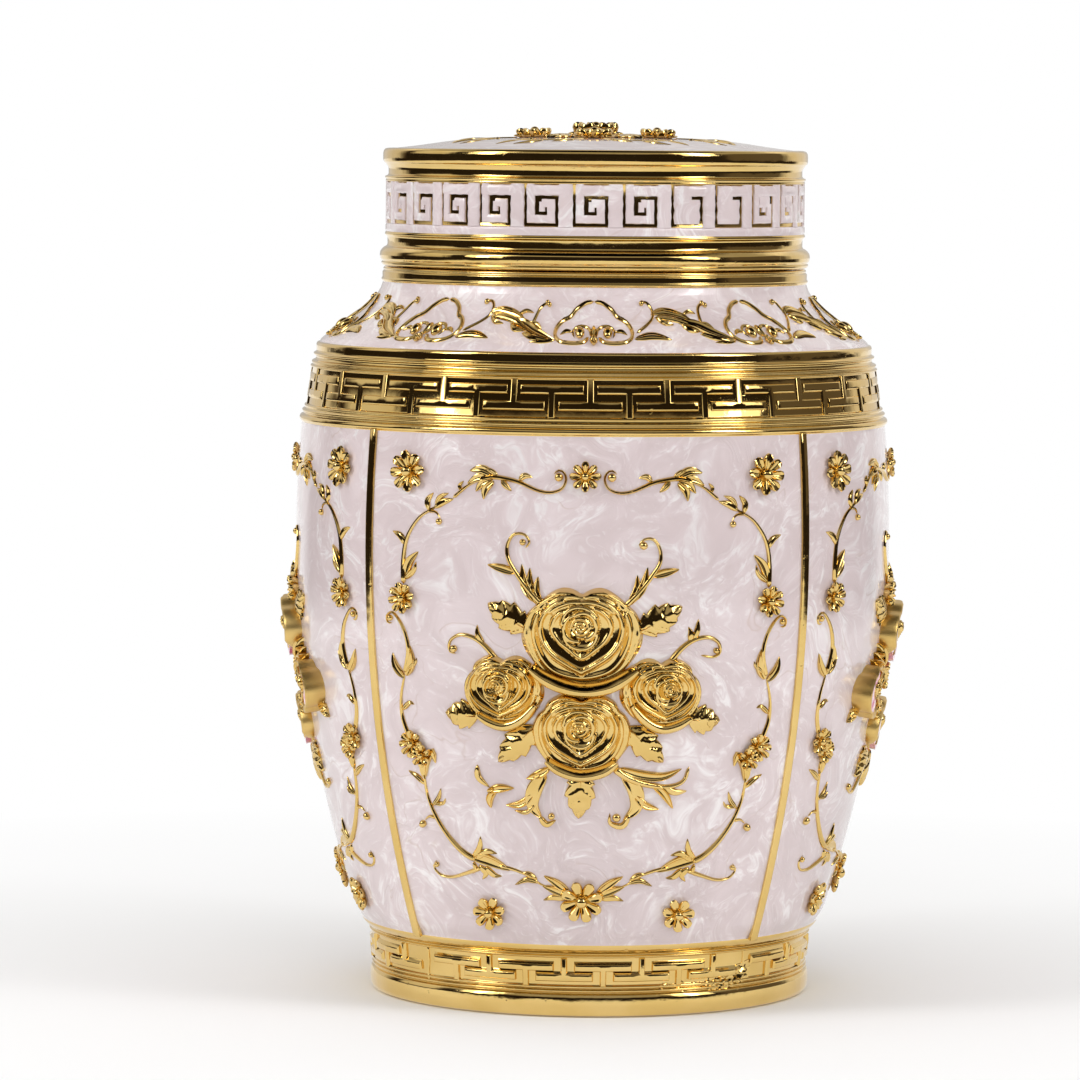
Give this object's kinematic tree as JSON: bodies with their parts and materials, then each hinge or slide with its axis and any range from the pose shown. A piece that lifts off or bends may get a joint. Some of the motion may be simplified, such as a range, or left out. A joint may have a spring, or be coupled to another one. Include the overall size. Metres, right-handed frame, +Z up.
{
  "type": "cremation urn",
  "caption": "Jar-shaped cast metal urn with pearl enamel panels, gilt flowers, vines and fret bands, a hollow chamber and a lift-off domed lid.",
  "frame": {"origin": "middle of the underside of the foot, on the urn's axis", "axes": "+Z up along the urn's axis, -Y towards the front panel with the roses, +X towards the panel on the viewer's right"},
  "size_m": [0.1836, 0.1842, 0.2548],
  "materials": {
    "gilt_brass": "polished gilt",
    "pearl_enamel": "glossy pearl enamel with a faint pink swirl",
    "pink_enamel": "glossy pink enamel"
  },
  "bodies": {
    "root": {"urn_body": "gilt_brass", "lid": "gilt_brass"}
  },
  "joints": []
}
